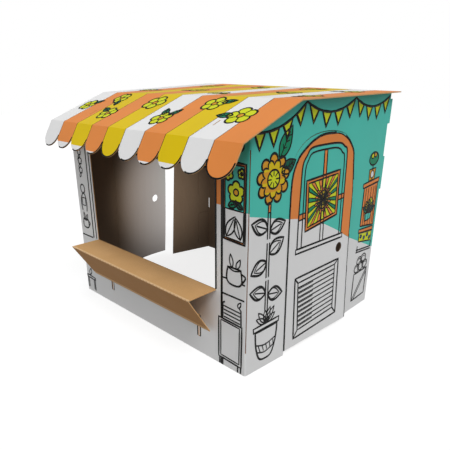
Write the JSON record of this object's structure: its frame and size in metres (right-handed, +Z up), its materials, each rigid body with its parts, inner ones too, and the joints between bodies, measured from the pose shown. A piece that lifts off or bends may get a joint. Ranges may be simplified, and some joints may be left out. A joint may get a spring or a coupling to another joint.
{
  "type": "cardboard playhouse",
  "caption": "Child-size fold-up playhouse of printed corrugated board with a striped roof, scalloped awning, serving window with counter and arched doors.",
  "frame": {"origin": "centre of the front wall's bottom edge, on the floor", "axes": "+X to the right along the front wall as seen from outside, +Y from the front wall back into the house, +Z up"},
  "size_m": [1.3876, 1.16, 1.095],
  "materials": {
    "printed_board": "satin print on corrugated board",
    "plain_board": "matt white liner on corrugated board",
    "roof_board": "satin striped print on corrugated board"
  },
  "bodies": {
    "root": {"walls": "printed_board", "back_wall": "plain_board", "roof": "roof_board"}
  },
  "joints": []
}
